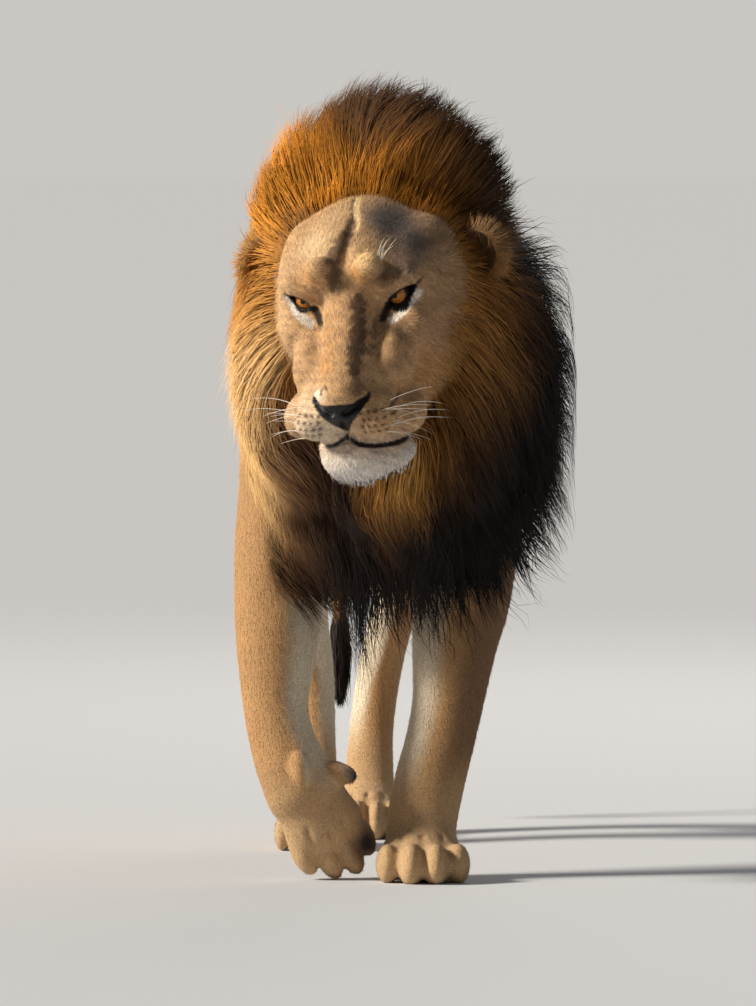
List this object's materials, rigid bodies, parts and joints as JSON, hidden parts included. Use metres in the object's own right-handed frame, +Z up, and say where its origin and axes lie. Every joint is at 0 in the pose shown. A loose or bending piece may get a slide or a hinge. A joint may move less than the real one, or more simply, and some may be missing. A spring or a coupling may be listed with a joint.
{
  "type": "lion",
  "caption": "Life-size male lion walking forward with its head turned slightly to its right: full two-tone mane, right forepaw swinging through with its toes at the floor, tail hanging.",
  "frame": {"origin": "On the floor, at the middle of the bounding box's bottom.", "axes": "+Z up; the lion faces -Y, its left side is +X and its tail is towards +Y."},
  "size_m": [0.4842, 1.8612, 1.139],
  "materials": {
    "coat_tawny": "short tawny hair, matte",
    "coat_pale": "short cream hair, matte",
    "mane_gold": "long golden-rust hair, soft sheen",
    "mane_dark": "long brown-black hair, soft sheen",
    "nose_skin": "dark bare skin, satin",
    "eye_amber": "wet amber eye, glossy"
  },
  "bodies": {
    "root": {"head": "coat_tawny", "ear_left": "coat_tawny", "ear_right": "coat_tawny", "chest": "coat_tawny", "back": "coat_tawny", "rump": "coat_tawny", "shoulder_left": "coat_tawny", "shoulder_right": "coat_tawny", "forearm_left": "coat_tawny", "forearm_right": "coat_tawny", "forepaw_left": "coat_tawny", "forepaw_right": "coat_tawny", "thigh_left": "coat_tawny", "thigh_right": "coat_tawny", "shank_left": "coat_tawny", "shank_right": "coat_tawny", "hindpaw_left": "coat_tawny", "hindpaw_right": "coat_tawny", "tail": "coat_tawny", "muzzle": "coat_pale", "lower_jaw": "coat_pale", "belly": "coat_pale", "mane_crest": "mane_gold", "mane_right": "mane_gold", "mane_beard": "mane_gold", "mane_left": "mane_dark", "mane_chest": "mane_dark", "neck": "mane_dark", "tail_tuft": "mane_dark", "nose": "nose_skin", "eye_left": "eye_amber", "eye_right": "eye_amber"}
  },
  "joints": []
}
